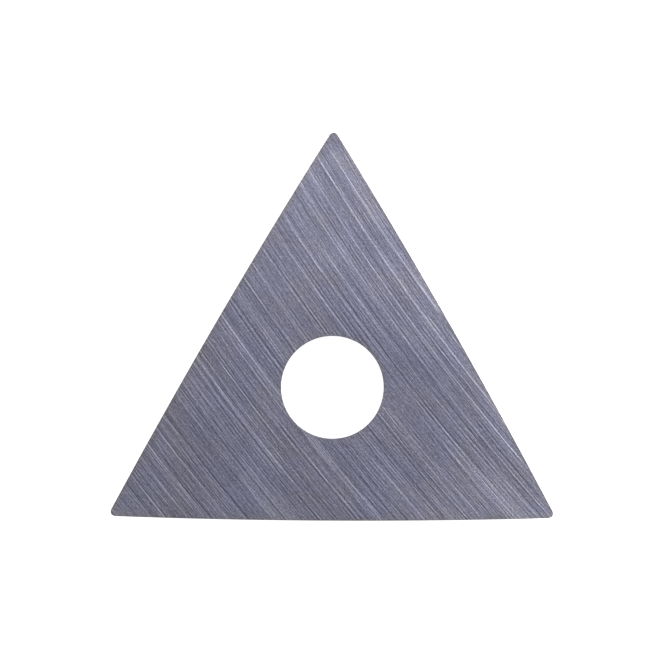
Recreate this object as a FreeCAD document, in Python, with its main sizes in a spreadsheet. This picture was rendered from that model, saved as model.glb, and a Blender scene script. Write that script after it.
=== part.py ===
"""Triangular scraper blade, cut from one sintered carbide plate.

The plate lies flat. Its wide face is up, its three long sides are the cutting
edges, and one round bore in the middle takes the clamping screw.

Frame, in millimetres: the origin is where the bore's axis meets the back face,
+Z runs up through the bore to the wide face, +Y points to one corner and +X
runs along the opposite cutting edge.

How the shape comes about, in the order that a blade is ground:
  1. a flat plate with three slightly crowned sides,
  2. one side relieved underneath, then turned twice by a third of a turn,
  3. the three slanted corners dubbed to a small nose radius,
  4. the bore.
"""

import FreeCAD
import Part

import math
import os

from FreeCAD import Vector

doc = FreeCAD.newDocument("scraper_blade")

# ---------------------------------------------------------------- dimensions
# The alias is the name, and each value is a plain number.
DIMENSIONS = [
    ("inscribed_radius", "7.54", "bore axis to the middle of a cutting edge"),
    ("crown_radius", "370", "each cutting edge bows outwards on this radius"),
    ("thickness", "2.0", "wide face to back face"),
    ("relief_angle", "35", "lean of each side from upright, degrees"),
    ("nose_radius", "0.38", "rounding along each slanted corner"),
    ("bore_diameter", "5.80", "through hole for the clamping screw"),
    ("overrun", "0.6", "how far the relief cutter runs past the plate"),
    ("relief_sweep", "6.4", "turn of the relief cutter about the crown's centre, degrees"),
]
sheet = doc.addObject("Spreadsheet::Sheet", "dims")
for row, (alias, value, meaning) in enumerate(DIMENSIONS, start=1):
    sheet.set(f"A{row}", alias)
    sheet.set(f"B{row}", value)
    sheet.setAlias(f"B{row}", alias)
    sheet.set(f"C{row}", meaning)
doc.recompute()

inscribed = float(sheet.inscribed_radius)
crown = float(sheet.crown_radius)
thick = float(sheet.thickness)
relief = float(sheet.relief_angle)
over = float(sheet.overrun)

body = doc.addObject("PartDesign::Body", "Blade")
body.Label = "scraper_blade"


def plane(role):
    """The body's own origin plane with this role."""
    for feature in body.Origin.OriginFeatures:
        if feature.Role == role:
            return feature
    raise RuntimeError(f"no origin feature {role}")


def sketch_on(role, name):
    sk = body.newObject("Sketcher::SketchObject", name)
    sk.AttachmentSupport = [(plane(role), "")]
    sk.MapMode = "FlatFace"
    return sk


# ---------------------------------------------------------------- 1. the plate
# Three arcs of the crown radius. Their centres lie on spokes from the bore's
# axis, a third of a turn apart, each spoke opposite its own side.
outline = sketch_on("XY_Plane", "OutlineSketch")
reach = crown - inscribed


def spoke_direction(k):
    """Unit vector from the axis to the crown centre of side k. Side 0 is the low -Y one."""
    turn = math.radians(90 + 120 * k)
    return Vector(math.cos(turn), math.sin(turn), 0)


# distance from the axis to a sharp corner, where two crowns meet
corner_reach = (-reach + math.sqrt(reach**2 + 4 * (crown**2 - reach**2))) / 2
corners = [
    Vector(
        corner_reach * math.cos(math.radians(210 + 120 * k)),
        corner_reach * math.sin(math.radians(210 + 120 * k)),
        0,
    )
    for k in range(3)
]

arcs, spokes = [], []
for k in range(3):
    centre = spoke_direction(k) * reach
    start, end = corners[k] - centre, corners[(k + 1) % 3] - centre
    a0 = math.atan2(start.y, start.x)
    a1 = math.atan2(end.y, end.x)
    circle = Part.Circle(centre, Vector(0, 0, 1), crown)
    arcs.append(outline.addGeometry(Part.ArcOfCircle(circle, a0, a1), False))
    spokes.append(outline.addGeometry(Part.LineSegment(Vector(0, 0, 0), centre), True))

import Sketcher  # noqa: E402  constraints only

for k in range(3):
    outline.addConstraint(Sketcher.Constraint("Coincident", arcs[k], 2, arcs[(k + 1) % 3], 1))
for k in range(3):
    outline.addConstraint(Sketcher.Constraint("Coincident", spokes[k], 1, -1, 1))
    outline.addConstraint(Sketcher.Constraint("Coincident", spokes[k], 2, arcs[k], 3))
outline.addConstraint(Sketcher.Constraint("Vertical", spokes[0]))
for k in (1, 2):
    outline.addConstraint(
        Sketcher.Constraint("Angle", spokes[0], 1, spokes[k], 1, math.radians(120 if k == 1 else -120))
    )
for k in range(3):
    c = outline.addConstraint(Sketcher.Constraint("Radius", arcs[k], crown))
    outline.renameConstraint(c, f"crown_{k}")
    outline.setExpression(f"Constraints.crown_{k}", "dims.crown_radius * 1 mm")
    c = outline.addConstraint(Sketcher.Constraint("Distance", spokes[k], reach))
    outline.renameConstraint(c, f"reach_{k}")
    outline.setExpression(
        f"Constraints.reach_{k}", "(dims.crown_radius - dims.inscribed_radius) * 1 mm"
    )
doc.recompute()

plate = body.newObject("PartDesign::Pad", "Plate")
plate.Profile = outline
plate.Length = thick
plate.setExpression("Length", "dims.thickness * 1 mm")
doc.recompute()
volume_plate = body.Shape.Volume

# ---------------------------------------------------------------- 2. the relief
# A wedge under the low -Y side, drawn across it and swung about the crown's
# centre, so the ground flank is part of a cone and the edge keeps its crown.
lean = math.tan(math.radians(relief))
wedge = sketch_on("YZ_Plane", "ReliefSketch")
edge_y, edge_z = -inscribed, thick
low_y = edge_y + (thick + over) * lean
points = [
    Vector(edge_y, edge_z, 0),
    Vector(edge_y - over, edge_z, 0),
    Vector(edge_y - over, -over, 0),
    Vector(low_y, -over, 0),
]
lines = [
    wedge.addGeometry(Part.LineSegment(points[i], points[(i + 1) % 4]), False) for i in range(4)
]
swing = wedge.addGeometry(
    Part.LineSegment(Vector(reach, 0, 0), Vector(reach, thick, 0)), True
)
for i in range(4):
    wedge.addConstraint(Sketcher.Constraint("Coincident", lines[i], 2, lines[(i + 1) % 4], 1))
wedge.addConstraint(Sketcher.Constraint("Horizontal", lines[0]))
wedge.addConstraint(Sketcher.Constraint("Vertical", lines[1]))
wedge.addConstraint(Sketcher.Constraint("Horizontal", lines[2]))


def bound(sk, kind, refs, value, name, expression):
    index = sk.addConstraint(Sketcher.Constraint(kind, *refs, value))
    sk.renameConstraint(index, name)
    sk.setExpression(f"Constraints.{name}", expression)


bound(wedge, "DistanceX", (lines[0], 1, -1, 1), inscribed, "edge_out", "dims.inscribed_radius * 1 mm")
bound(wedge, "DistanceY", (-1, 1, lines[0], 1), thick, "edge_up", "dims.thickness * 1 mm")
bound(wedge, "DistanceX", (lines[0], 2, lines[0], 1), over, "run_out", "dims.overrun * 1 mm")
bound(wedge, "DistanceY", (lines[2], 1, -1, 1), over, "run_under", "dims.overrun * 1 mm")
bound(
    wedge,
    "DistanceX",
    (lines[0], 1, lines[2], 2),
    low_y - edge_y,
    "lean_in",
    "(dims.thickness + dims.overrun) * tan(dims.relief_angle * 1 deg) * 1 mm",
)
wedge.addConstraint(Sketcher.Constraint("Vertical", swing))
wedge.addConstraint(Sketcher.Constraint("PointOnObject", swing, 1, -1))
bound(
    wedge,
    "DistanceX",
    (-1, 1, swing, 1),
    reach,
    "swing_out",
    "(dims.crown_radius - dims.inscribed_radius) * 1 mm",
)
bound(wedge, "DistanceY", (swing, 1, swing, 2), thick, "swing_up", "dims.thickness * 1 mm")
doc.recompute()

flank = body.newObject("PartDesign::Groove", "Relief")
flank.Profile = wedge
flank.ReferenceAxis = (wedge, ["Axis0"])
flank.Midplane = True
flank.Angle = float(sheet.relief_sweep)
flank.setExpression("Angle", "dims.relief_sweep * 1 deg")
doc.recompute()
volume_one = body.Shape.Volume

thirds = body.newObject("PartDesign::PolarPattern", "ReliefPattern")
thirds.Originals = [flank]
thirds.Axis = (plane("Z_Axis"), [""])
thirds.Angle = 360
thirds.Occurrences = 3
body.Tip = thirds
doc.recompute()
volume_three = body.Shape.Volume

# ---------------------------------------------------------------- 3. the noses
slanted = []
for number, edge in enumerate(thirds.Shape.Edges, start=1):
    heights = sorted(v.Z for v in edge.Vertexes)
    if len(heights) == 2 and abs(heights[0]) < 1e-4 and abs(heights[1] - thick) < 1e-4:
        slanted.append(f"Edge{number}")
if len(slanted) != 3:
    raise RuntimeError(f"expected three slanted corners, found {slanted}")
noses = body.newObject("PartDesign::Fillet", "Noses")
noses.Base = (thirds, slanted)
noses.Radius = float(sheet.nose_radius)
noses.setExpression("Radius", "dims.nose_radius * 1 mm")
body.Tip = noses
doc.recompute()
volume_nosed = body.Shape.Volume

# ---------------------------------------------------------------- 4. the bore
ring = sketch_on("XY_Plane", "BoreSketch")
hole = ring.addGeometry(
    Part.Circle(Vector(0, 0, 0), Vector(0, 0, 1), float(sheet.bore_diameter) / 2), False
)
ring.addConstraint(Sketcher.Constraint("Coincident", hole, 3, -1, 1))
bound(ring, "Diameter", (hole,), float(sheet.bore_diameter), "bore", "dims.bore_diameter * 1 mm")
doc.recompute()
bore = body.newObject("PartDesign::Pocket", "Bore")
bore.Profile = ring
bore.Type = "ThroughAll"
bore.Midplane = True
body.Tip = bore
doc.recompute()
volume_final = body.Shape.Volume

# ---------------------------------------------------------------- checks
for obj in doc.Objects:
    if "Invalid" in obj.State or "Error" in obj.State:
        raise RuntimeError(f"{obj.Name} failed: {obj.State}")
for sk in (outline, wedge, ring):
    if sk.solve() != 0:
        raise RuntimeError(f"{sk.Name} does not solve")
steps = [volume_plate, volume_one, volume_three, volume_nosed, volume_final]
if any(after >= before for before, after in zip(steps, steps[1:])):
    raise RuntimeError(f"a cut removed nothing: {steps}")
shape = body.Shape
if shape.isNull() or not shape.isValid() or len(shape.Solids) != 1:
    raise RuntimeError("the blade is not one valid solid")
expected_bore = math.pi * (float(sheet.bore_diameter) / 2) ** 2 * thick
if abs(volume_nosed - volume_final - expected_bore) > 1e-3 * expected_bore:
    raise RuntimeError("the bore's volume is wrong")

box = shape.optimalBoundingBox(False, False)
print("volumes mm3:", [round(v, 3) for v in steps])
print(
    f"box: x {box.XMin:.3f} to {box.XMax:.3f}, y {box.YMin:.3f} to {box.YMax:.3f}, "
    f"z {box.ZMin:.3f} to {box.ZMax:.3f}"
)
print(f"tip to tip {box.XLength:.3f}, height {box.YLength:.3f}, faces {len(shape.Faces)}")

os.makedirs("parts", exist_ok=True)
shape.exportStep(os.path.join("parts", f"{body.Label}.step"))
print("wrote", body.Label)
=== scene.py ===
import math

import bpy
import numpy as np
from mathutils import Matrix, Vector
from mathutils.geometry import delaunay_2d_cdt
from mathutils.kdtree import KDTree


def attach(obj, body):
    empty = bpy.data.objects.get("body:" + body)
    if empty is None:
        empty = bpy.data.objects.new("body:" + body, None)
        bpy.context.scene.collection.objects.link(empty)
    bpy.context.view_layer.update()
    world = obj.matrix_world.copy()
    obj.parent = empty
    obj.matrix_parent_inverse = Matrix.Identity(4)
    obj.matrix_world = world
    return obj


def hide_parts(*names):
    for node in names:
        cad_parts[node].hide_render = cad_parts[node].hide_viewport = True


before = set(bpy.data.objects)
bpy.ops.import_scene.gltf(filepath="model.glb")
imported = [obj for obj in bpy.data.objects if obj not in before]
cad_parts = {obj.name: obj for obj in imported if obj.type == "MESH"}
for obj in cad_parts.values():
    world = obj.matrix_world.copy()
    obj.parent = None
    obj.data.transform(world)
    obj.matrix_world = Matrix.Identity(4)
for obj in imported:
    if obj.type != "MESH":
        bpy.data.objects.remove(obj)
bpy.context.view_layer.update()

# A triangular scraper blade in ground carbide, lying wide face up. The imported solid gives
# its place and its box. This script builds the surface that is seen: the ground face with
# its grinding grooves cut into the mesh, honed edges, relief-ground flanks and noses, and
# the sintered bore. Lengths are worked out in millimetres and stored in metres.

MM = 0.001

# ------------------------------------------------------------------ the blade's own sizes
IN_RADIUS, CROWN, THICK = 7.54, 370.0, 2.0
RELIEF, NOSE, BORE = math.radians(35.0), 0.38, 2.90
TAN, COS, SIN = math.tan(RELIEF), math.cos(RELIEF), math.sin(RELIEF)
OFFSET = CROWN - IN_RADIUS  # from the bore's axis to each crown's centre

HONE = 0.012  # radius on the cutting edge
BACK_BREAK = 0.035  # radius where the flanks meet the back face
RIM_BREAK = 0.03  # edge break at both ends of the bore


def unit(degrees):
    a = math.radians(degrees)
    return np.array([math.cos(a), math.sin(a)])


def ball_place(zc):
    """How far out the centre of a ball lies that rolls along a slanted corner, and the slope of its path."""
    rc = CROWN - (THICK - zc) * TAN - NOSE / COS
    root = np.sqrt(4 * rc * rc - 3 * OFFSET * OFFSET)
    return (root - OFFSET) / 2, 2 * rc * TAN / root


def corner_limits(z):
    """At height z: the half turn of a side's arc, and the half turn of the nose."""
    s, slope = ball_place(z + NOSE * SIN)
    side = math.atan2(s * math.sin(math.pi / 3), OFFSET + s * math.cos(math.pi / 3))
    lean = math.atan(slope)
    return side, math.acos(SIN / math.sin(lean))


def side_points(i, t, z, into=0.0):
    """Points of side i at height z for t from -1 to 1, and their outward directions. into moves them inwards."""
    half, _ = corner_limits(z)
    a = math.radians(-90 + 120 * i) + np.asarray(t, float) * half
    out = np.stack([np.cos(a), np.sin(a)], 1)
    radius = CROWN - (THICK - z) * TAN - into
    return -OFFSET * unit(-90 + 120 * i) + radius * out, out


def nose_points(k, w, z, into=0.0):
    """Points of the nose at corner k at height z for w from -1 to 1, and their outward directions."""
    _, half = corner_limits(z)
    turn = np.asarray(w, float) * half
    zc = z + NOSE * 0.8 * np.cos(turn)
    for _ in range(4):
        s, slope = ball_place(zc)
        lean = np.arctan(slope)
        zc = z + NOSE * np.cos(turn) * np.sin(lean)
    s, slope = ball_place(zc)
    lean = np.arctan(slope)
    rho, tau = unit(-30 + 120 * k), unit(60 + 120 * k)
    along_rho = s + NOSE * np.cos(turn) * np.cos(lean)
    along_tau = NOSE * np.sin(turn)
    p = along_rho[:, None] * rho + along_tau[:, None] * tau
    n = (np.cos(turn) * np.cos(lean))[:, None] * rho + np.sin(turn)[:, None] * tau
    n /= np.linalg.norm(n, axis=1)[:, None]
    return p - into * n, n


class Round:
    """Places round the blade's outline, the same at every height. Side i covers q from 2i to 2i+1 and the nose after it 2i+1 to 2i+2."""

    def __init__(self, sides, noses):
        self.sides, self.noses = sides, noses  # lists of three arrays
        q = []
        for i in range(3):
            q += [2 * i + (sides[i] + 1) / 2, 2 * i + 1 + (noses[i] + 1) / 2]
        self.q = np.concatenate(q)

    def at(self, z, into=0.0):
        points, outs = [], []
        for i in range(3):
            for p, n in (
                side_points(i, self.sides[i], z, into),
                nose_points(i, self.noses[i], z, into),
            ):
                points.append(p)
                outs.append(n)
        return np.concatenate(points), np.concatenate(outs)


# --------------------------------------------------------------------- the grinding lines
# The wheel left long shallow arcs that run from upper left to lower right. Every arc is a
# line of constant u, and v runs along it. Both are in millimetres on the face.
def grain(x, y):
    return x + y * (0.770 - 0.0050 * y + 0.0025 * x) - 0.0008 * x * x, 1.23 * y


def back_to_x(u, y):
    x = u - 0.77 * y
    for _ in range(7):
        x = u - (y * (0.770 - 0.0050 * y + 0.0025 * x) - 0.0008 * x * x)
    return x


def back_grain(x, y):
    """The back face was ground the other way, with plainer and straighter lines."""
    return x - y * (0.42 + 0.0030 * y), 1.08 * y


def lattice(seed, wide, long):
    """A smooth random field with one value every wide mm across the lines and every long mm along them."""
    table = np.random.default_rng(seed).standard_normal((1024, 64))

    def field(u, v):
        a, b = u / wide + 311.3, v / long + 23.7
        i, j = np.floor(a).astype(int), np.floor(b).astype(int)
        fa, fb = a - i, b - j
        fa, fb = fa * fa * (3 - 2 * fa), fb * fb * (3 - 2 * fb)
        i, j = i % 1024, j % 64
        i1, j1 = (i + 1) % 1024, (j + 1) % 64
        return (table[i, j] * (1 - fa) + table[i1, j] * fa) * (1 - fb) + (
            table[i, j1] * (1 - fa) + table[i1, j1] * fa
        ) * fb

    return field


# Single scratches that stand out on the ground face, placed one by one: u, the y where each
# begins and ends, how strong it is (the real groove it cuts, and its colour: over 0 a painted
# glint that lightens it, under 0 painted shade that darkens it), how wide it is in mm, and how
# much it drifts off the arcs for each mm of y.
SCRATCHES = [
    (9.26, 13.6, 4.1, 1.47, 0.09, -0.001),
    (8.26, 13.2, -0.7, 1.06, 0.08, 0.0),
    (7.26, 12.4, -4.1, 1.36, 0.08, -0.003),
    (6.19, 7.3, -7.5, 0.70, 0.09, 0.003),
    (4.32, 10.0, -7.5, 0.66, 0.09, -0.025),
    (3.09, 9.1, 2.5, 1.09, 0.08, -0.032),
    (1.68, 8.2, 2.7, 0.40, 0.06, 0.0),
    (0.50, 7.3, 2.3, 0.46, 0.06, 0.0),
    (-0.50, 6.5, 1.9, 0.73, 0.07, -0.020),
    (-2.17, 5.2, 0.7, 0.67, 0.07, -0.008),
    (-3.32, 4.3, -0.7, 1.43, 0.08, 0.001),
    (-3.78, 4.0, -1.6, 0.88, 0.08, 0.0),
    (-4.78, 3.2, -3.9, 0.89, 0.07, -0.010),
    (-6.00, 2.2, -4.7, 0.86, 0.08, -0.005),
    (-6.46, 1.9, -6.0, 0.94, 0.08, -0.001),
    (-9.16, -0.2, -7.5, 0.81, 0.08, -0.009),
    (-10.79, -1.4, -7.6, 1.05, 0.07, -0.006),
    (-11.76, -2.1, -7.6, 0.86, 0.08, 0.0),
    (-13.01, -3.1, -7.6, 0.88, 0.08, 0.012),
    (-14.00, -3.8, -7.6, 0.89, 0.08, 0.0),
    (-4.47, -0.5, -7.5, 0.90, 0.08, -0.013),
    (-3.26, -2.6, -7.5, 1.15, 0.08, -0.023),
    (-0.90, -2.5, -7.5, 0.92, 0.08, -0.010),
    (0.08, -2.3, -7.5, 1.13, 0.06, 0.0),
    (1.88, -0.8, -7.5, 0.82, 0.06, 0.041),
    (4.18, -2.7, -7.5, 1.12, 0.06, 0.003),
    (5.39, -0.2, -7.4, 0.98, 0.08, -0.024),
    (5.22, 7.9, -0.7, 0.92, 0.08, -0.020),
    (6.24, 11.7, 5.8, 0.78, 0.05, 0.0),
    (-5.32, 3.2, -3.5, 0.99, 0.07, 0.0),
    (-6.90, 2.2, -7.5, 0.72, 0.07, 0.0),
    (2.26, -1.2, -7.6, 0.67, 0.07, -0.030),
    (1.50, -1.2, -7.6, 0.87, 0.06, -0.010),
    (3.78, -3.1, -7.6, 0.79, 0.07, -0.010),
    (6.02, 11.0, 6.3, 0.97, 0.06, -0.015),
    (1.97, 7.1, 2.4, 0.86, 0.07, -0.015),
    (4.47, 10.2, -5.0, -0.32, 0.10, -0.015),
    (3.47, 9.1, 2.2, -0.53, 0.10, -0.017),
    (6.56, 11.9, 3.3, -0.57, 0.10, -0.001),
    (5.83, 2.7, -7.4, -0.34, 0.10, 0.048),
    (6.57, 0.3, -6.4, -0.69, 0.10, 0.018),
    (7.59, 9.6, -2.3, -0.48, 0.09, 0.009),
    (0.30, -2.0, -7.5, -0.66, 0.10, -0.017),
    (1.35, -1.3, -7.5, -0.93, 0.10, -0.014),
    (-2.00, 5.3, 0.8, -0.70, 0.10, -0.017),
    (-3.04, -2.7, -7.5, -1.21, 0.08, 0.010),
    (-4.63, -2.0, -7.5, -0.74, 0.10, -0.012),
    (-6.76, 1.7, -7.5, -0.58, 0.07, 0.0),
    (-10.64, -1.3, -7.6, -1.13, 0.08, 0.001),
    (-12.66, -2.8, -7.6, -0.84, 0.10, -0.002),
    (1.82, 7.9, 2.7, -0.85, 0.08, -0.010),
    (-6.26, 2.7, -7.0, -0.55, 0.08, 0.015),
    (4.13, 7.5, -2.2, -0.30, 0.08, -0.025),
    (7.01, 11.0, 1.3, -0.48, 0.08, 0.010),
    (6.04, -2.5, -7.2, -0.83, 0.09, 0.0),
    (5.56, 11.8, 2.1, -0.40, 0.09, 0.015),
    (-2.47, -3.1, -7.6, -0.74, 0.08, -0.025),
    (8.06, 13.3, 8.6, -0.35, 0.08, 0.0),
    (-2.32, 5.0, 0.3, -0.61, 0.08, -0.010),
]


# Broad bands along the same rows that make the colour lighter (over 0) or darker.
BANDS = [
    (-8.6, -3.6, -8.6, 0.11, 0.42, 0.0),
    (-6.6, 3.4, -5.6, 0.085, 0.28, 0.0),
    (-3.5, 5.0, -8.4, 0.050, 0.30, 0.0),
    (-1.5, 6.0, -0.5, 0.060, 0.26, 0.0),
    (4.6, -4.2, -8.6, 0.085, 0.45, 0.0),
    (5.9, 8.6, 4.0, 0.10, 0.75, 0.0),
    (8.35, 8.4, -3.6, 0.12, 0.26, 0.0),
    (9.4, 8.6, 4.0, 0.13, 0.25, 0.0),
    (-9.7, 0.8, -6.0, -0.11, 0.22, 0.0),
    (-11.6, -2.0, -6.4, -0.075, 0.60, 0.0),
    (-5.3, 3.4, -8.6, -0.055, 0.26, 0.0),
    (0.6, -2.0, -6.2, -0.070, 0.45, 0.0),
    (5.1, 3.4, -5.8, -0.075, 1.05, 0.0),
    (8.2, 14.6, 9.2, -0.075, 0.50, 0.0),
    (-0.3, 8.4, 1.4, -0.040, 0.35, 0.0),
    # painted light: this band lightens the colour along the right edge, where the light falls brighter
    (7.9, 0.6, -8.6, 0.055, 0.80, 0.0),
]


def grit_lines(seed, count, u_range, y_range, length, sigma, bright, strength, tilt, turn=0.0):
    """Many scratches left by single grains of the wheel, in rows: u, the y where each begins
    and ends, strength, half width and drift."""
    r = np.random.default_rng(seed)
    span = length * np.exp(0.52 * r.standard_normal(count)) / 1.23
    mid = r.uniform(y_range[0] - 1, y_range[1] + 1, count)
    u = r.uniform(*u_range, count)
    wide = sigma * np.exp(0.23 * r.standard_normal(count))
    size = strength * np.minimum(0.6 + r.exponential(0.4, count), 2.2)
    power = np.where(r.random(count) < bright, size, -np.minimum(size, 1.7 * strength))
    drift = turn + tilt * r.standard_normal(count)
    return np.stack([u, mid + span / 2, mid - span / 2, power, wide, drift], 1)


def lay(rows, u, y, slant=0.81, lobe=0.8, shoulder=2.6):
    """Adds up scratches at every point: how much they lighten its colour as painted glints and darken
    it as painted shade, and how much they dig. slant turns a step in u into mm across the line."""
    order = np.argsort(u, kind="stable")
    us, ys = u[order], y[order]
    light, depth = np.zeros(len(u)), np.zeros(len(u))
    phases = np.random.default_rng(len(rows)).uniform(0.5, 6.8, (len(rows), 3))
    for (u0, top, low, power, wide, drift), (p, q, pace) in zip(rows, phases):
        mid, half = (top + low) / 2, (top - low) / 2
        reach = 3.0 * shoulder * wide / slant + abs(drift) * half
        a, b = np.searchsorted(us, (u0 - reach, u0 + reach))
        hit = a + np.nonzero(np.abs(ys[a:b] - mid) < half)[0]
        if not len(hit):
            continue
        yy = ys[hit]
        across = (us[hit] - u0 - drift * (yy - mid)) * slant / wide
        core = np.exp(-0.5 * across**2)
        beside = lobe / shoulder * np.exp(-0.5 * (across / shoulder) ** 2)
        soft = min(max(0.35, 4 * wide), 0.6 * half)
        fade = np.clip((half - np.abs(yy - mid)) / soft, 0, 1)
        rate = 0.5 + 0.25 * pace
        fade = fade * (1 + 0.28 * np.sin(rate * yy + p) * np.sin(0.47 * rate * yy + q))
        light[hit] += power * fade * (core - beside)
        depth[hit] += abs(power) * fade * core
    out = np.empty((2, len(u)))
    out[:, order] = light, depth
    return out


FACE_U, FACE_Y = (-18.6, 10.6), (-7.6, 14.5)
FACE_LINES = np.concatenate([
    grit_lines(101, 3200, FACE_U, FACE_Y, 12.0, 0.016, 0.46, 0.125, 0.008),
    # a second pass of the wheel crossed the first at a small angle
    grit_lines(104, 900, FACE_U, FACE_Y, 6.0, 0.016, 0.45, 0.16, 0.020, turn=0.03),
    grit_lines(102, 4000, FACE_U, FACE_Y, 2.2, 0.016, 0.43, 0.17, 0.022),
])
FINE_LINES = np.concatenate([
    grit_lines(105, 3600, FACE_U, FACE_Y, 3.0, 0.018, 0.43, 0.24, 0.010),
    grit_lines(103, 12000, FACE_U, FACE_Y, 0.6, 0.018, 0.42, 0.37, 0.050),
])
SINGLE_LINES = [(u0, top, low, 0.67 * strength, wide / 3.1, drift)
                for u0, top, low, strength, wide, drift in SCRATCHES]
band, broad = lattice(13, 0.42, 14.0), lattice(14, 1.5, 20.0)


def face_depth(x, y):
    """Depth of the wide face's grooves below its highest point, in mm, and how bright each place's colour is, with the
    lines' painted glints and painted shade.
    """
    u, v = grain(x, y)
    light, cut = lay(FACE_LINES, u, y, lobe=0.60, shoulder=3.6)
    fine, fine_cut = lay(FINE_LINES, u, y, lobe=0.9, shoulder=2.0)
    # the wheel left the lower half a little coarser
    light = 0.85 * light * (1 - 0.022 * (y - 2.0)) + 1.28 * fine * (1 - 0.026 * (y - 2.0))
    single, single_cut = lay(SINGLE_LINES, u, y, lobe=0.4, shoulder=3.0)
    cut += fine_cut + single_cut
    light = light + single
    light = np.where(light > 0.36, 0.36 + 0.60 * (light - 0.36), light)
    light = light + lay(BANDS, u, y, lobe=0.0, shoulder=1.0)[0]
    # the wheel's feed left faint marks about 0.85 mm apart, stronger where its two rhythms meet
    light = light + 0.024 * np.cos(5.843 * u + 1.48) + 0.026 * np.cos(6.456 * u + 2.79)
    light = light + 0.00105 * x * x + 0.00118 * y * y - 0.0005 * x * y  # painted shade: the colour is darker in the middle of the face, lighter towards its edges
    light -= 0.28 * np.clip((y - 12.9) / 0.9, 0, 1)  # darker colour at the far nose
    waves = np.clip(1.6 - 0.5 * band(u, v) - 0.6 * broad(u, v), 0.0, 4.0)
    return np.clip(0.4 + waves + 1.6 * cut, 0.4, 9.0) * 0.001, light


BACK_LINES = np.concatenate([
    grit_lines(201, 900, (-21.5, 19.5), FACE_Y, 8.0, 0.046, 0.44, 0.19, 0.010),
    grit_lines(202, 1800, (-21.5, 19.5), FACE_Y, 2.4, 0.044, 0.40, 0.20, 0.020),
])
back_band = lattice(22, 0.6, 12.0)


def back_depth(x, y):
    u, v = back_grain(x, y)
    light, cut = lay(BACK_LINES, u, y, slant=0.92)
    return np.clip(1.2 - 0.8 * back_band(u, v) + 2.4 * cut, 0.3, 7.0) * 0.001, light


flank_fine, flank_band = lattice(31, 0.085, 6.0), lattice(32, 0.30, 9.0)
bore_field = lattice(41, 0.22, 0.25)


# ------------------------------------------------------------------------------ the mesh
class Skin:
    """Collects vertices and triangles with their material, their place on the bake's map and their surface coordinates."""

    def __init__(self):
        self.co, self.tri, self.mat, self.sheet, self.surf = [], [], [], [], []
        self.light, self.rim = [], []
        self.count = 0

    def add(self, co, light=None, rim=None):
        co = np.asarray(co, float)
        start = self.count
        self.co.append(co)
        self.light.append(np.zeros(len(co)) if light is None else light)
        self.rim.append(np.zeros(len(co)) if rim is None else rim)
        self.count += len(co)
        return np.arange(start, start + len(co))

    def faces(self, tri, mat, sheet, surf):
        """tri are vertex numbers, sheet and surf the same triangles' corners on the bake's map and in surface mm."""
        self.tri.append(np.asarray(tri, int).reshape(-1, 3))
        self.mat.append(np.full(len(self.tri[-1]), mat))
        self.sheet.append(np.asarray(sheet, float).reshape(-1, 3, 2))
        self.surf.append(np.asarray(surf, float).reshape(-1, 3, 2))


skin = Skin()
FACE, FLANK, BORE_WALL, BACK = range(4)


def stitch(a, qa, b, qb, whole):
    """Triangles between two closed rings. a lies to the left of the way round and b to the right. Gives corners as (ring, number) with the turns kept."""
    na, nb = len(a), len(b)
    qa2, qb2 = np.append(qa, qa[0] + whole), np.append(qb, qb[0] + whole)
    i = j = 0
    out = []
    while i < na or j < nb:
        take_a = j >= nb or (i < na and qa2[i + 1] <= qb2[j + 1])
        if take_a:
            out.append(((0, i), (1, j), (0, i + 1)))
            i += 1
        else:
            out.append(((0, i), (1, j), (1, j + 1)))
            j += 1
    return out


def strip(skin, a, qa, b, qb, whole, mat, sheet_of, surf_of, flip=False):
    """Joins ring a to ring b. sheet_of and surf_of give a place for (ring, q)."""
    corners = stitch(a, qa, b, qb, whole)
    ids = (np.asarray(a), np.asarray(b))
    qs = (np.append(qa, qa[0] + whole), np.append(qb, qb[0] + whole))
    flat = np.array(corners)  # triangles, corners, (ring, number)
    ring, num = flat[..., 0], flat[..., 1]
    tri = np.where(ring == 0, ids[0][num % len(a)], ids[1][num % len(b)])
    q = np.where(ring == 0, qs[0][np.minimum(num, len(a))], qs[1][np.minimum(num, len(b))])
    sheet, surf = sheet_of(ring, q), surf_of(ring, q)
    if flip:
        tri, sheet, surf = tri[:, ::-1], sheet[:, ::-1], surf[:, ::-1]
    skin.faces(tri, mat, sheet, surf)


# The bake's map holds the whole surface at one scale: the wide face, the back face upside
# down beside it, the three flanks as long strips, and the bore's wall unrolled.
SHEET = 35.9


def sheet_face(x, y):
    return np.stack([x + 12.9, y + 7.9], -1)


def sheet_back(x, y):
    return np.stack([25.05 - x, 17.1 - y], -1)


FLANK_ROW = [23.4, 26.3, 29.2]
BORE_ROW = 32.2

# Places round the outline. The dense round follows the grooves as they cross the edge.
DU, DV = 0.0215, 0.34
t_fine = np.linspace(-1, 1, 6001)
sides = []
for i in range(3):
    p, _ = side_points(i, t_fine, THICK)
    u = grain(p[:, 0], p[:, 1])[0] / DU
    cell = np.floor(u)
    cross = np.nonzero(cell[1:] != cell[:-1])[0]
    share = (np.maximum(cell[cross], cell[cross + 1]) - u[cross]) / (u[cross + 1] - u[cross])
    t = np.concatenate([t_fine[cross] + share * (t_fine[1] - t_fine[0]), np.linspace(-1, 1, 181)])
    t = np.sort(t)
    keep, last = [-1.0], -1.0
    for value in t[1:-1]:
        if value - last > 0.0011 and 1 - value > 0.0011:
            keep.append(value)
            last = value
    sides.append(np.array(keep))  # the end belongs to the nose that follows
nose_w = np.linspace(-1, 1, 25)
DENSE = Round(sides, [nose_w[:-1]] * 3)
FLANK_ROUND = Round([np.linspace(-1, 1, 61)[:-1]] * 3, [np.linspace(-1, 1, 15)[:-1]] * 3)
BACK_ROUND = Round([np.linspace(-1, 1, 161)[:-1]] * 3, [np.linspace(-1, 1, 15)[:-1]] * 3)


def turned(count, q0=0.0):
    return q0 + np.arange(count) / count


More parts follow.
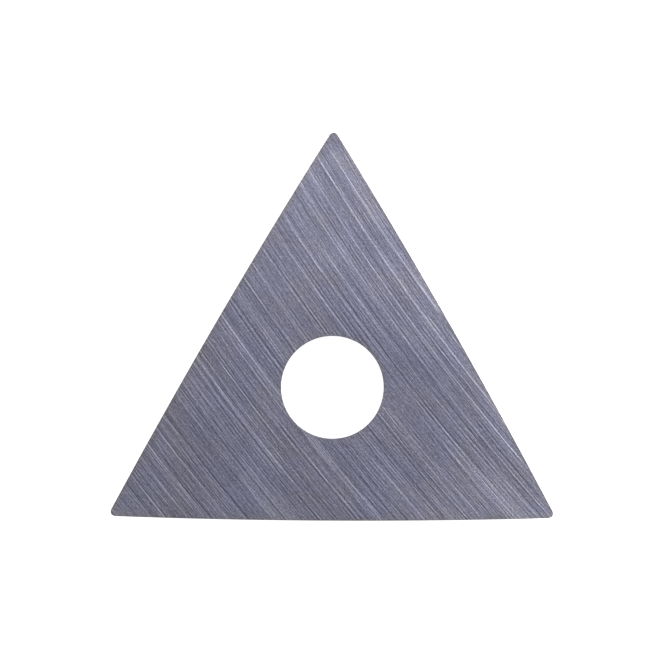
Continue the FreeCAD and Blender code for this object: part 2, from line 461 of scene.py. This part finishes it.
def inside_round(x, y, z, into):
    """Whether points lie inside the outline at height z, moved inwards."""
    good = np.ones(len(x), bool)
    radius = CROWN - (THICK - z) * TAN - into
    for i in range(3):
        c = -OFFSET * unit(-90 + 120 * i)
        good &= np.hypot(x - c[0], y - c[1]) < radius
    for k in range(3):  # past the nose, only its own curve counts
        rho, tau = unit(-30 + 120 * k), unit(60 + 120 * k)
        r, t = x * rho[0] + y * rho[1], x * tau[0] + y * tau[1]
        p, _ = nose_points(k, np.linspace(-1, 1, 61), z, into)
        pr, pt = p @ rho, p @ tau
        near = (r > pr.min()) & good
        limit = np.interp(t, pt, pr)
        good &= ~near | (r < limit)
    return good


def fill(ring_xy, hole_xy, grain_of, x_of, du, dv, z, into, hole):
    """Triangles that fill the plan between an outline and the bore, in columns along the grain. Returns every point, with the outline first and the bore next."""
    y_low, y_high = ring_xy[:, 1].min(), ring_xy[:, 1].max()
    u_all = grain_of(ring_xy[:, 0], ring_xy[:, 1])[0]
    stretch = abs(grain_of(0.0, 1.0)[1])
    cols = np.arange(math.floor(u_all.min() / du), math.ceil(u_all.max() / du) + 1) * du
    rows = np.arange(y_low, y_high, dv / stretch)
    uu, yy = np.meshgrid(cols, rows, indexing="ij")
    uu, yy = uu.ravel(), yy.ravel()
    xx = x_of(uu, yy)
    good = inside_round(xx, yy, z, into + 0.016) & (np.hypot(xx, yy) > hole + 0.018)
    xx, yy = xx[good], yy[good]
    x = np.concatenate([ring_xy[:, 0], hole_xy[:, 0], xx])
    y = np.concatenate([ring_xy[:, 1], hole_xy[:, 1], yy])
    u, v = grain_of(x, y)
    flat = np.stack([u / du + 0.002 * v / dv, v / dv], 1)
    n, m = len(ring_xy), len(hole_xy)
    edges = [(i, (i + 1) % n) for i in range(n)]
    edges += [(n + i, n + (i + 1) % m) for i in range(m)]
    verts, _, faces, orig, _, _ = delaunay_2d_cdt(
        [Vector(p) for p in flat.tolist()], edges, [], 0, 1e-7, True
    )
    source = np.array([o[0] if len(o) else -1 for o in orig])
    tri = source[np.array([f for f in faces if len(f) == 3])]
    # A triangle whose corners are all on the bore's ring fills the bore, and one that bridges
    # a side which bends inwards in the plane of u and v comes out upside down in the plan.
    tri = tri[~((tri >= n) & (tri < n + m)).all(1)]
    ax, ay = x[tri[:, 1]] - x[tri[:, 0]], y[tri[:, 1]] - y[tri[:, 0]]
    bx, by = x[tri[:, 2]] - x[tri[:, 0]], y[tri[:, 2]] - y[tri[:, 0]]
    tri = tri[ax * by - ay * bx > 0]
    cx, cy = x[tri].mean(1), y[tri].mean(1)
    outer = (tri < n).all(1)
    keep = np.ones(len(tri), bool)
    keep[outer] = inside_round(cx[outer], cy[outer], z, into)
    return x, y, tri[keep]


# --- wide face
face_in = HONE / math.tan((math.pi / 2 - RELIEF) / 2)  # where the hone meets the face
ring_xy, ring_out = DENSE.at(THICK, face_in)
bore_n = 720
bore_turn = np.linspace(0, 2 * math.pi, bore_n, endpoint=False)
hole_r = BORE + RIM_BREAK
hole_xy = hole_r * np.stack([np.cos(bore_turn), np.sin(bore_turn)], 1)
x, y, tri = fill(ring_xy, hole_xy, grain, back_to_x, DU, DV, THICK, face_in, hole_r)
deep, light = face_depth(x, y)
deep[: len(ring_xy)] = np.minimum(deep[: len(ring_xy)], 0.5 * HONE)
deep[len(ring_xy) : len(ring_xy) + bore_n] += 0.001


def rim_share(x, y, reach):
    """How close each place on the wide face is to the blade's edge or the bore: 1 there, 0 at reach mm."""
    outline, _ = Round([np.linspace(-1, 1, 1201)[:-1]] * 3, [nose_w[:-1]] * 3).at(THICK, face_in)
    tree = KDTree(len(outline))
    for i, (px, py) in enumerate(outline):
        tree.insert((px, py, 0.0), i)
    tree.balance()
    share = 0.6 * np.clip(1 - (np.hypot(x, y) - hole_r) / reach, 0, 1)
    for i in np.nonzero(~inside_round(x, y, THICK, face_in + reach))[0]:
        share[i] = max(0.0, 1 - tree.find((x[i], y[i], 0.0))[2] / reach)
    return share


face_ids = skin.add(np.stack([x, y, THICK - deep], 1), light, rim_share(x, y, 0.28))
surf = np.stack(grain(x, y), 1)
skin.faces(face_ids[tri], FACE, sheet_face(x, y)[tri], surf[tri])
face_ring, hole_ring = face_ids[: len(ring_xy)], face_ids[len(ring_xy) : len(ring_xy) + bore_n]
rim_deep = deep[: len(ring_xy)]

# --- cutting edge: a hone of three steps round the whole outline
sharp_rings = [face_ring, hole_ring]
previous, hone_rings = face_ring, []
half_wedge = (math.pi / 2 - RELIEF) / 2
for step, gamma in enumerate(np.radians([42.0, 84.0, 125.0])):
    into = face_in - HONE * math.sin(gamma)
    xy, _ = DENSE.at(THICK, into)
    fall = HONE * (1 - math.cos(gamma)) + rim_deep * (1 - (step + 1) / 3)
    ids = skin.add(np.column_stack([xy, THICK - fall]))

    def hone_sheet(ring, q, s=step):
        px = np.interp(q, np.append(DENSE.q, 6.0), np.append(ring_xy[:, 0], ring_xy[0, 0]))
        py = np.interp(q, np.append(DENSE.q, 6.0), np.append(ring_xy[:, 1], ring_xy[0, 1]))
        grow = 1 + 0.0022 * (s + ring)
        return sheet_face(px * grow, py * grow)

    def hone_surf(ring, q, s=step):
        return np.stack([0.02 * (s + ring), q * 12.0], -1)

    strip(skin, ids, DENSE.q, previous, DENSE.q, 6.0, FLANK,
          lambda r, q, f=hone_sheet: f(1 - r, q), lambda r, q, f=hone_surf: f(1 - r, q), flip=True)
    previous = ids
    hone_rings.append(ids)
sharp_rings.append(hone_rings[-1])

# --- flanks and noses: close rows, because their lines run along the edge
z_top = THICK - HONE * (1 - math.cos(math.radians(125)))
z_low = BACK_BREAK * (1 - SIN)
rows = 52
heights = np.linspace(z_top, z_low, rows)


def q_place(q):
    """Which side each place belongs to, and how far along that side's strip it lies, in mm.
    The three corners of a triangle, in a row of q, share one side."""
    near = q if q.ndim == 1 else np.repeat(q.mean(1, keepdims=True), 3, 1)
    side = np.minimum((near / 2).astype(int), 2)
    local = q - 2 * side
    return side, (local - 0.5) * 24.2 * (local <= 1) + (local > 1) * (12.1 + (local - 1) * 0.62)


def flank_depth(side, along, slope):
    fade = np.clip(slope / 0.05, 0, 1)
    line = 0.45 * flank_fine(slope + 3.1 * side + 0.0008 * along * along, along + 40 * side)
    line += 0.45 * flank_band(slope + 5.3 * side + 0.0010 * along * along, along + 40 * side)
    return np.clip(1.6 - line, 0.1, 3.6) * 0.001 * fade


def flank_sheet(heights_pair):
    def place(ring, q):
        side, along = q_place(q)
        z = np.where(ring == 0, heights_pair[0], heights_pair[1])
        row = np.array(FLANK_ROW)[side]
        # strips run along the sheet, slope upwards
        return np.stack([along + 12.9, row + (THICK - z) / COS], -1)
    return place


def flank_surf(heights_pair):
    def place(ring, q):
        side, along = q_place(q)
        z = np.where(ring == 0, heights_pair[0], heights_pair[1])
        slope = (THICK - z) / COS
        return np.stack([slope + 4.0 * side + 0.0009 * along * along, along + 60.0 * side], -1)
    return place


def flank_ring(z, rnd):
    xy, out = rnd.at(z)
    side, along = q_place(rnd.q)
    deep = flank_depth(side, along, np.full(len(along), (THICK - z) / COS))
    normal = np.column_stack([out * COS, np.full(len(out), -SIN)])
    co = np.column_stack([xy, np.full(len(xy), z)]) - normal * deep[:, None]
    return skin.add(co)


previous, previous_q, previous_z = hone_rings[-1], DENSE.q, z_top
for z in heights[1:]:
    ids = flank_ring(z, FLANK_ROUND)
    pair = (z, previous_z)
    strip(skin, ids, FLANK_ROUND.q, previous, previous_q, 6.0, FLANK,
          flank_sheet(pair), flank_surf(pair), flip=True)
    previous, previous_q, previous_z = ids, FLANK_ROUND.q, z
sharp_rings.append(previous)

# --- the break where the flanks meet the back face
back_in = BACK_BREAK * math.tan((math.pi / 2 - RELIEF) / 2)
for step, gamma in enumerate(np.radians([90 + 35 + 27.5, 180.0])):
    # the rounding's centre lies BACK_BREAK above the back face
    into = back_in - BACK_BREAK * math.sin(gamma)
    z = BACK_BREAK * (1 + math.cos(gamma))
    last = step == 1
    rnd = BACK_ROUND if last else FLANK_ROUND
    xy, _ = rnd.at(0.0, back_in if last else into)
    z_at, edge_light = np.full(len(xy), z), None
    if last:
        edge_deep, edge_light = back_depth(xy[:, 0], xy[:, 1])
        z_at = z_at + edge_deep
    ids = skin.add(np.column_stack([xy, z_at]), edge_light)
    pair = (z, previous_z)
    strip(skin, ids, rnd.q, previous, previous_q, 6.0, FLANK,
          flank_sheet(pair), flank_surf(pair), flip=True)
    previous, previous_q, previous_z = ids, rnd.q, z
back_ring = previous
sharp_rings.append(back_ring)

# --- back face
back_xy = np.concatenate(skin.co)[back_ring][:, :2]
back_n = 240
back_turn = np.linspace(0, 2 * math.pi, back_n, endpoint=False)
back_hole = hole_r * np.stack([np.cos(back_turn), np.sin(back_turn)], 1)


def back_x(u, y):
    return u + y * (0.42 + 0.0030 * y)


x, y, tri = fill(back_xy, back_hole, back_grain, back_x, 0.055, 0.5, 0.0, back_in, hole_r)
deep, light = back_depth(x, y)
new = skin.add(np.stack([x, y, deep], 1)[len(back_xy):], light[len(back_xy):])
ids = np.concatenate([back_ring, new])
surf = np.stack(back_grain(x, y), 1)
tri = tri[:, ::-1]
skin.faces(ids[tri], BACK, sheet_back(x, y)[tri], surf[tri])
back_hole_ring = new[:back_n]
sharp_rings.append(back_hole_ring)

# --- bore: an edge break at each end and a wall left as sintered
bore_cols = 180
wall_q = turned(bore_cols)


def wall_ring(radius, z, ripple=0.0):
    a = wall_q * 2 * math.pi
    r = radius + ripple * bore_field(a * BORE, np.full(bore_cols, z))
    return skin.add(np.column_stack([r * np.cos(a), r * np.sin(a), np.full(bore_cols, z)]))


def wall_sheet(z_pair):
    def place(ring, q):
        z = np.where(ring == 0, z_pair[0], z_pair[1])
        return np.stack([q * 2 * math.pi * BORE + 1.0, BORE_ROW + z], -1)
    return place


def wall_surf(z_pair):
    def place(ring, q):
        z = np.where(ring == 0, z_pair[0], z_pair[1])
        return np.stack([q * 2 * math.pi * BORE, z], -1)
    return place


z_values = [THICK - 0.3 * RIM_BREAK - 0.002, THICK - RIM_BREAK - 0.004]
z_values += list(np.linspace(THICK - 0.10, 0.10, 17)) + [RIM_BREAK, 0.3 * RIM_BREAK]
radii = [BORE + 0.3 * RIM_BREAK, BORE] + [BORE] * 17 + [BORE, BORE + 0.3 * RIM_BREAK]
previous, previous_q, previous_z = hole_ring, turned(bore_n), THICK
for n, (z, radius) in enumerate(zip(z_values, radii)):
    middle = 2 <= n < len(z_values) - 2
    ids = wall_ring(radius, z, 0.0016 if middle else 0.0)
    pair = (z, previous_z)
    strip(skin, ids, wall_q, previous, previous_q, 1.0, BORE_WALL, wall_sheet(pair), wall_surf(pair))
    if n in (1, len(z_values) - 2):
        sharp_rings.append(ids)
    previous, previous_q, previous_z = ids, wall_q, z
pair = (0.0, previous_z)
strip(skin, back_hole_ring, turned(back_n), previous, previous_q, 1.0, BORE_WALL,
      wall_sheet(pair), wall_surf(pair))

# --- gather it all
co = np.concatenate(skin.co)
tri = np.concatenate(skin.tri)
mesh = bpy.data.meshes.new("ground_blade")
mesh.vertices.add(len(co))
mesh.vertices.foreach_set("co", (co * MM).astype(np.float32).ravel())
mesh.loops.add(3 * len(tri))
mesh.loops.foreach_set("vertex_index", tri.astype(np.int32).ravel())
mesh.polygons.add(len(tri))
mesh.polygons.foreach_set("loop_start", np.arange(0, 3 * len(tri), 3, dtype=np.int32))
mesh.polygons.foreach_set("material_index", np.concatenate(skin.mat).astype(np.int32))
mesh.polygons.foreach_set("use_smooth", np.ones(len(tri), bool))
mesh.update(calc_edges=True)
surf_layer = mesh.uv_layers.new(name="surface_mm")
surf_layer.uv.foreach_set("vector", np.concatenate(skin.surf).astype(np.float32).ravel())
bake_layer = mesh.uv_layers.new(name="OFBake")
bake_layer.uv.foreach_set("vector", (np.concatenate(skin.sheet) / SHEET).astype(np.float32).ravel())
mesh.uv_layers.active = mesh.uv_layers["surface_mm"]
mesh.uv_layers["surface_mm"].active_render = True
# glint holds the scratches' painted glints and painted shade for the colour, rim the band along the edges
for attribute, values in (("glint", skin.light), ("rim", skin.rim)):
    layer = mesh.attributes.new(attribute, "FLOAT", "POINT")
    layer.data.foreach_set("value", np.concatenate(values).astype(np.float32))

ends = np.empty(2 * len(mesh.edges), np.int32)
mesh.edges.foreach_get("vertices", ends)
ends = ends.reshape(-1, 2)
ring_id, ring_at, ring_len = (np.full(len(co), -1) for _ in range(3))
for n, ring in enumerate(sharp_rings):
    ring_id[ring], ring_at[ring], ring_len[ring] = n, np.arange(len(ring)), len(ring)
same = (ring_id[ends[:, 0]] >= 0) & (ring_id[ends[:, 0]] == ring_id[ends[:, 1]])
apart = np.abs(ring_at[ends[:, 0]] - ring_at[ends[:, 1]])
sharp = same & ((apart == 1) | (apart == ring_len[ends[:, 0]] - 1))
mesh.edges.foreach_set("use_edge_sharp", sharp)
mesh.validate(clean_customdata=False)

blade = bpy.data.objects.new("scraper_blade_ground", mesh)
bpy.context.scene.collection.objects.link(blade)


# -------------------------------------------------------------------------- the materials
class Tree:
    """Small helper for building a node tree."""

    def __init__(self, name):
        self.material = bpy.data.materials.new(name)
        self.material.use_nodes = True
        self.tree = self.material.node_tree
        self.tree.nodes.clear()

    def node(self, kind, values=None, **settings):
        n = self.tree.nodes.new(kind)
        for key, value in settings.items():
            setattr(n, key, value)
        for key, value in (values or {}).items():
            self.put(n.inputs[key], value)
        return n

    def put(self, socket, value):
        if isinstance(value, bpy.types.NodeSocket):
            self.tree.links.new(value, socket)
        else:
            socket.default_value = value

    def maths(self, operation, a, b=0.0, c=None):
        n = self.node("ShaderNodeMath", operation=operation)
        self.put(n.inputs[0], a)
        self.put(n.inputs[1], b)
        if c is not None:
            self.put(n.inputs[2], c)
        return n.outputs[0]

    def mul(self, a, b):
        return self.maths("MULTIPLY", a, b)

    def add(self, a, b):
        return self.maths("ADD", a, b)

    def vector(self, x, y, z=0.0):
        n = self.node("ShaderNodeCombineXYZ")
        for i, value in enumerate((x, y, z)):
            self.put(n.inputs[i], value)
        return n.outputs[0]

    def noise(self, x, y, z=0.0, detail=1.0, rough=0.5, distort=0.0):
        """A noise about 0 whose cells are one unit wide in x, y and z."""
        n = self.node(
            "ShaderNodeTexNoise",
            {"Vector": self.vector(x, y, z), "Scale": 1.0, "Detail": detail,
             "Roughness": rough, "Distortion": distort},
        )
        return self.maths("SUBTRACT", n.outputs["Fac"], 0.5)

    def ramp(self, value, low, high, out_low=0.0, out_high=1.0, smooth=True):
        n = self.node(
            "ShaderNodeMapRange",
            {"Value": value, "From Min": low, "From Max": high, "To Min": out_low, "To Max": out_high},
            interpolation_type="SMOOTHSTEP" if smooth else "LINEAR",
        )
        return n.outputs["Result"]

    def mix(self, share, a, b):
        n = self.node("ShaderNodeMix", data_type="RGBA", blend_type="MIX")
        self.put(n.inputs["Factor"], share)
        self.put(n.inputs["A"], a)
        self.put(n.inputs["B"], b)
        return n.outputs["Result"]

    def shade(self, colour, amount):
        """colour times amount, channel by channel."""
        n = self.node("ShaderNodeVectorMath", operation="MULTIPLY")
        self.put(n.inputs[0], colour)
        self.put(n.inputs[1], amount)
        return n.outputs[0]


CARBIDE = (0.2578, 0.262, 0.359, 1.0)
WARM = (0.2715, 0.262, 0.330, 1.0)
DEEP = (0.2617, 0.262, 0.3795, 1.0)
EDGE = (0.276, 0.262, 0.270, 1.0)  # a less blue grey, mixed in along the face's edges and the bore's rim, and into the flanks


def ground_carbide(name, lines, bands, speckle, bump, rough, glints=0.0, dashes=0.0, edge=0.0,
                   grey=0.0, pitch=1.0, level=1.0, seed=0.0):
    """Ground carbide: colour, gloss and relief follow lines of constant u on the surface_mm map.
    pitch makes the lines closer, dashes break them up, and grey takes out some of the blue."""
    t = Tree(name)
    place = t.node("ShaderNodeUVMap", uv_map="surface_mm").outputs[0]
    split = t.node("ShaderNodeSeparateXYZ", {0: place})
    u, v = split.outputs[0], split.outputs[1]
    object_mm = t.node("ShaderNodeVectorMath", operation="SCALE")
    t.put(object_mm.inputs[0], t.node("ShaderNodeTexCoord").outputs["Object"])
    object_mm.inputs["Scale"].default_value = 1000.0
    at = t.node("ShaderNodeSeparateXYZ", {0: object_mm.outputs[0]})
    x, y, z = at.outputs[0], at.outputs[1], at.outputs[2]

    long_lines = t.noise(t.mul(u, 6.2 * pitch), t.mul(v, 0.10), 1.0 + seed, 1.5, 0.6)
    mid_lines = t.noise(t.mul(u, 9.0 * pitch), t.mul(v, 0.35), 7.0 + seed, 1.0, 0.55)
    hairs = t.noise(t.mul(u, 18.0 * pitch), t.mul(v, 0.22), 13.0 + seed, 0.0, 0.5)
    # a second pass of the wheel crossed the first at a small angle
    crossed_u = t.add(u, t.mul(v, 0.030 if pitch == 1.0 else 0.004))
    crossed = t.noise(t.mul(crossed_u, 6.5 * pitch), t.mul(v, 0.14), 23.0 + seed, 1.5, 0.6)
    broad = t.noise(t.mul(u, 0.85), t.mul(v, 0.05), 31.0 + seed, 2.0, 0.55)
    grit = t.noise(t.mul(x, 12.0), t.mul(y, 12.0), t.mul(z, 12.0), 1.0, 0.5)
    cloud = t.noise(t.mul(x, 0.45), t.mul(y, 0.45), t.add(t.mul(z, 0.45), 5.0 + seed), 2.0, 0.5)

    line = t.add(t.add(t.mul(long_lines, 1.0), t.mul(mid_lines, 0.8)),
                 t.add(t.mul(crossed, 0.6), t.mul(hairs, 0.5)))
    tone = t.add(t.add(t.mul(line, lines), t.mul(broad, bands)), t.mul(grit, speckle))
    tone = t.add(tone, t.mul(cloud, 0.16))
    # the scratches' painted glints and painted shade, read from the mesh's glint attribute
    if glints:
        glint = t.node("ShaderNodeAttribute", attribute_name="glint").outputs["Fac"]
        tone = t.add(tone, t.mul(glint, glints))
    if dashes:
        dash = t.noise(t.mul(u, 11.0), t.mul(v, 3.6), 67.0 + seed, 0.0, 0.5)
        tone = t.add(tone, t.mul(dash, t.add(dashes, t.mul(t.maths("ABSOLUTE", glint), -dashes))))
    if edge:
        rim = t.node("ShaderNodeAttribute", attribute_name="rim").outputs["Fac"]
        tone = t.add(tone, t.mul(rim, -0.09 * edge))
    # bright lines stand out more than dark ones, and are less blue
    strong = t.mul(t.maths("POWER", math.e, tone), level)
    less = t.mul(t.maths("POWER", math.e, t.mul(tone, 0.87)), level)

    warm = t.ramp(t.noise(t.mul(x, 0.28), t.mul(y, 0.28), 41.0 + seed, 3.0, 0.55), -0.16, 0.16)
    deep = t.ramp(t.noise(t.mul(x, 0.75), t.mul(y, 0.75), 53.0 + seed, 3.0, 0.60), -0.16, 0.20)
    colour = t.mix(t.mul(warm, 0.80), CARBIDE, WARM)
    colour = t.mix(t.mul(deep, 0.70), colour, DEEP)
    if edge:
        colour = t.mix(t.mul(rim, edge), colour, EDGE)
    if grey:
        colour = t.mix(grey, colour, EDGE)
    colour = t.shade(colour, t.vector(strong, strong, less))

    roughness = t.add(rough, t.add(t.mul(line, -0.10), t.add(t.mul(grit, 0.10), t.mul(cloud, 0.08))))
    if glints:
        roughness = t.add(roughness, t.mul(glint, 0.05))
    roughness = t.maths("MAXIMUM", roughness, 0.2)

    height = t.add(t.mul(line, 1.0), t.mul(grit, 0.35))
    relief = t.node("ShaderNodeBump", {"Strength": 1.0, "Distance": bump * MM, "Height": height})

    shader = t.node(
        "ShaderNodeBsdfPrincipled",
        {"Base Color": colour, "Metallic": 1.0, "Roughness": roughness, "Normal": relief.outputs[0]},
    )
    out = t.node("ShaderNodeOutputMaterial")
    t.tree.links.new(shader.outputs[0], out.inputs[0])
    return t.material


def sintered_carbide(name):
    """The bore's wall: darker, matt and finely grained, with faint marks of the core rod."""
    t = Tree(name)
    place = t.node("ShaderNodeUVMap", uv_map="surface_mm").outputs[0]
    split = t.node("ShaderNodeSeparateXYZ", {0: place})
    round_mm, height_mm = split.outputs[0], split.outputs[1]
    object_mm = t.node("ShaderNodeVectorMath", operation="SCALE")
    t.put(object_mm.inputs[0], t.node("ShaderNodeTexCoord").outputs["Object"])
    object_mm.inputs["Scale"].default_value = 1000.0
    at = t.node("ShaderNodeSeparateXYZ", {0: object_mm.outputs[0]})
    x, y, z = at.outputs[0], at.outputs[1], at.outputs[2]
    grain_fine = t.noise(t.mul(x, 22.0), t.mul(y, 22.0), t.mul(z, 22.0), 3.0, 0.65)
    grain_large = t.noise(t.mul(x, 3.0), t.mul(y, 3.0), t.mul(z, 3.0), 2.0, 0.5)
    draw = t.noise(t.mul(x, 7.0), t.mul(y, 7.0), t.mul(z, 0.35), 2.0, 0.6)
    tone = t.add(1.0, t.add(t.mul(grain_fine, 0.40), t.add(t.mul(grain_large, 0.30), t.mul(draw, 0.35))))
    colour = t.shade((0.215, 0.212, 0.265), t.vector(tone, tone, tone))
    roughness = t.add(0.52, t.add(t.mul(grain_fine, 0.20), t.mul(grain_large, 0.10)))
    relief = t.node(
        "ShaderNodeBump",
        {"Strength": 1.0, "Distance": 0.004 * MM, "Height": t.add(grain_fine, t.mul(draw, 0.6))},
    )
    shader = t.node(
        "ShaderNodeBsdfPrincipled",
        {"Base Color": colour, "Metallic": 1.0, "Roughness": roughness, "Normal": relief.outputs[0]},
    )
    out = t.node("ShaderNodeOutputMaterial")
    t.tree.links.new(shader.outputs[0], out.inputs[0])
    return t.material


mesh.materials.append(
    ground_carbide("carbide_ground_face", lines=0.15, bands=0.12, speckle=1.30, bump=0.0006,
                   rough=0.40, glints=1.03, dashes=0.68, edge=0.6, level=0.792)
)
mesh.materials.append(
    ground_carbide("carbide_ground_flank", lines=1.05, bands=0.30, speckle=0.60, bump=0.0006,
                   rough=0.34, grey=0.30, pitch=1.7, level=0.75, seed=100.0)
)
mesh.materials.append(sintered_carbide("carbide_sintered_bore"))
mesh.materials.append(
    ground_carbide("carbide_ground_back", lines=0.20, bands=0.30, speckle=0.60, bump=0.0006,
                   rough=0.44, glints=1.0, level=0.96, seed=200.0)
)

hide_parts("scraper_blade")
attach(blade, "root")

# ----------------------------------------------------------------------- floor and lights
floor_mesh = bpy.data.meshes.new("pale_floor")
s = 1.6
floor_mesh.from_pydata([(-s, -s, 0), (s, -s, 0), (s, s, 0), (-s, s, 0)], [], [(0, 1, 2, 3)])
floor = bpy.data.objects.new("pale_floor", floor_mesh)
floor.location.z = -0.00001
bpy.context.scene.collection.objects.link(floor)
paper = Tree("pale_table")
diffuse = paper.node(
    "ShaderNodeBsdfPrincipled",
    {"Base Color": (0.86, 0.86, 0.86, 1.0), "Roughness": 0.9,
     "Emission Color": (1.0, 1.0, 1.0, 1.0), "Emission Strength": 0.80},
)
out = paper.node("ShaderNodeOutputMaterial")
paper.tree.links.new(diffuse.outputs[0], out.inputs[0])
floor_mesh.materials.append(paper.material)

world = bpy.data.worlds.new("studio")
bpy.context.scene.world = world
world.use_nodes = True
sky = world.node_tree
sky.nodes.clear()
direction = sky.nodes.new("ShaderNodeTexCoord")
parts = sky.nodes.new("ShaderNodeSeparateXYZ")
sky.links.new(direction.outputs["Generated"], parts.inputs[0])
fade = sky.nodes.new("ShaderNodeMapRange")
fade.interpolation_type = "SMOOTHSTEP"
for key, value in {"From Min": 0.05, "From Max": 0.9, "To Min": 1.05, "To Max": 0.42}.items():
    fade.inputs[key].default_value = value
sky.links.new(parts.outputs[2], fade.inputs["Value"])
glow = sky.nodes.new("ShaderNodeBackground")
glow.inputs["Color"].default_value = (1.0, 1.0, 1.0, 1.0)
sky.links.new(fade.outputs["Result"], glow.inputs["Strength"])
sky_out = sky.nodes.new("ShaderNodeOutputWorld")
sky.links.new(glow.outputs[0], sky_out.inputs[0])


def softbox(name, place, aim, size, radiance, colour=(1.0, 1.0, 1.0)):
    """A square area light that gives off this radiance."""
    data = bpy.data.lights.new(name, "AREA")
    data.shape, data.size = "SQUARE", size
    data.energy = radiance * math.pi * size * size
    data.color = colour
    light = bpy.data.objects.new(name, data)
    bpy.context.scene.collection.objects.link(light)
    light.location = place
    way = Vector(aim) - Vector(place)
    light.rotation_euler = way.to_track_quat("-Z", "Y").to_euler()
    light.visible_camera = False
    return light


softbox("key", (0.0431, 0.0544, 0.1015), (0.0, 0.003, 0.002), 0.06, 9.3)

# ----------------------------------------------------------------------------- the camera
# Straight above the blade. The photograph is 665 pixels square and shows 37.5 mm at the
# height of the wide face.
FRAME_MM, FAR = 37.54, 0.60
camera_data = bpy.data.cameras.new("camera")
camera = bpy.data.objects.new("camera", camera_data)
bpy.context.scene.collection.objects.link(camera)
camera_data.sensor_fit = "HORIZONTAL"
camera_data.sensor_width = 36.0
camera_data.lens = 36.0 * FAR / (FRAME_MM * MM)
camera_data.clip_start, camera_data.clip_end = 0.01, 10.0
camera.location = (-0.00001, 0.003097, THICK * MM + FAR)
camera.rotation_euler = (0.0, 0.0, math.radians(0.267))
bpy.context.scene.camera = camera
bpy.context.scene.view_settings.view_transform = "Standard"
bpy.context.scene.view_settings.look = "None"

print("triangles", len(tri), "vertices", len(co))
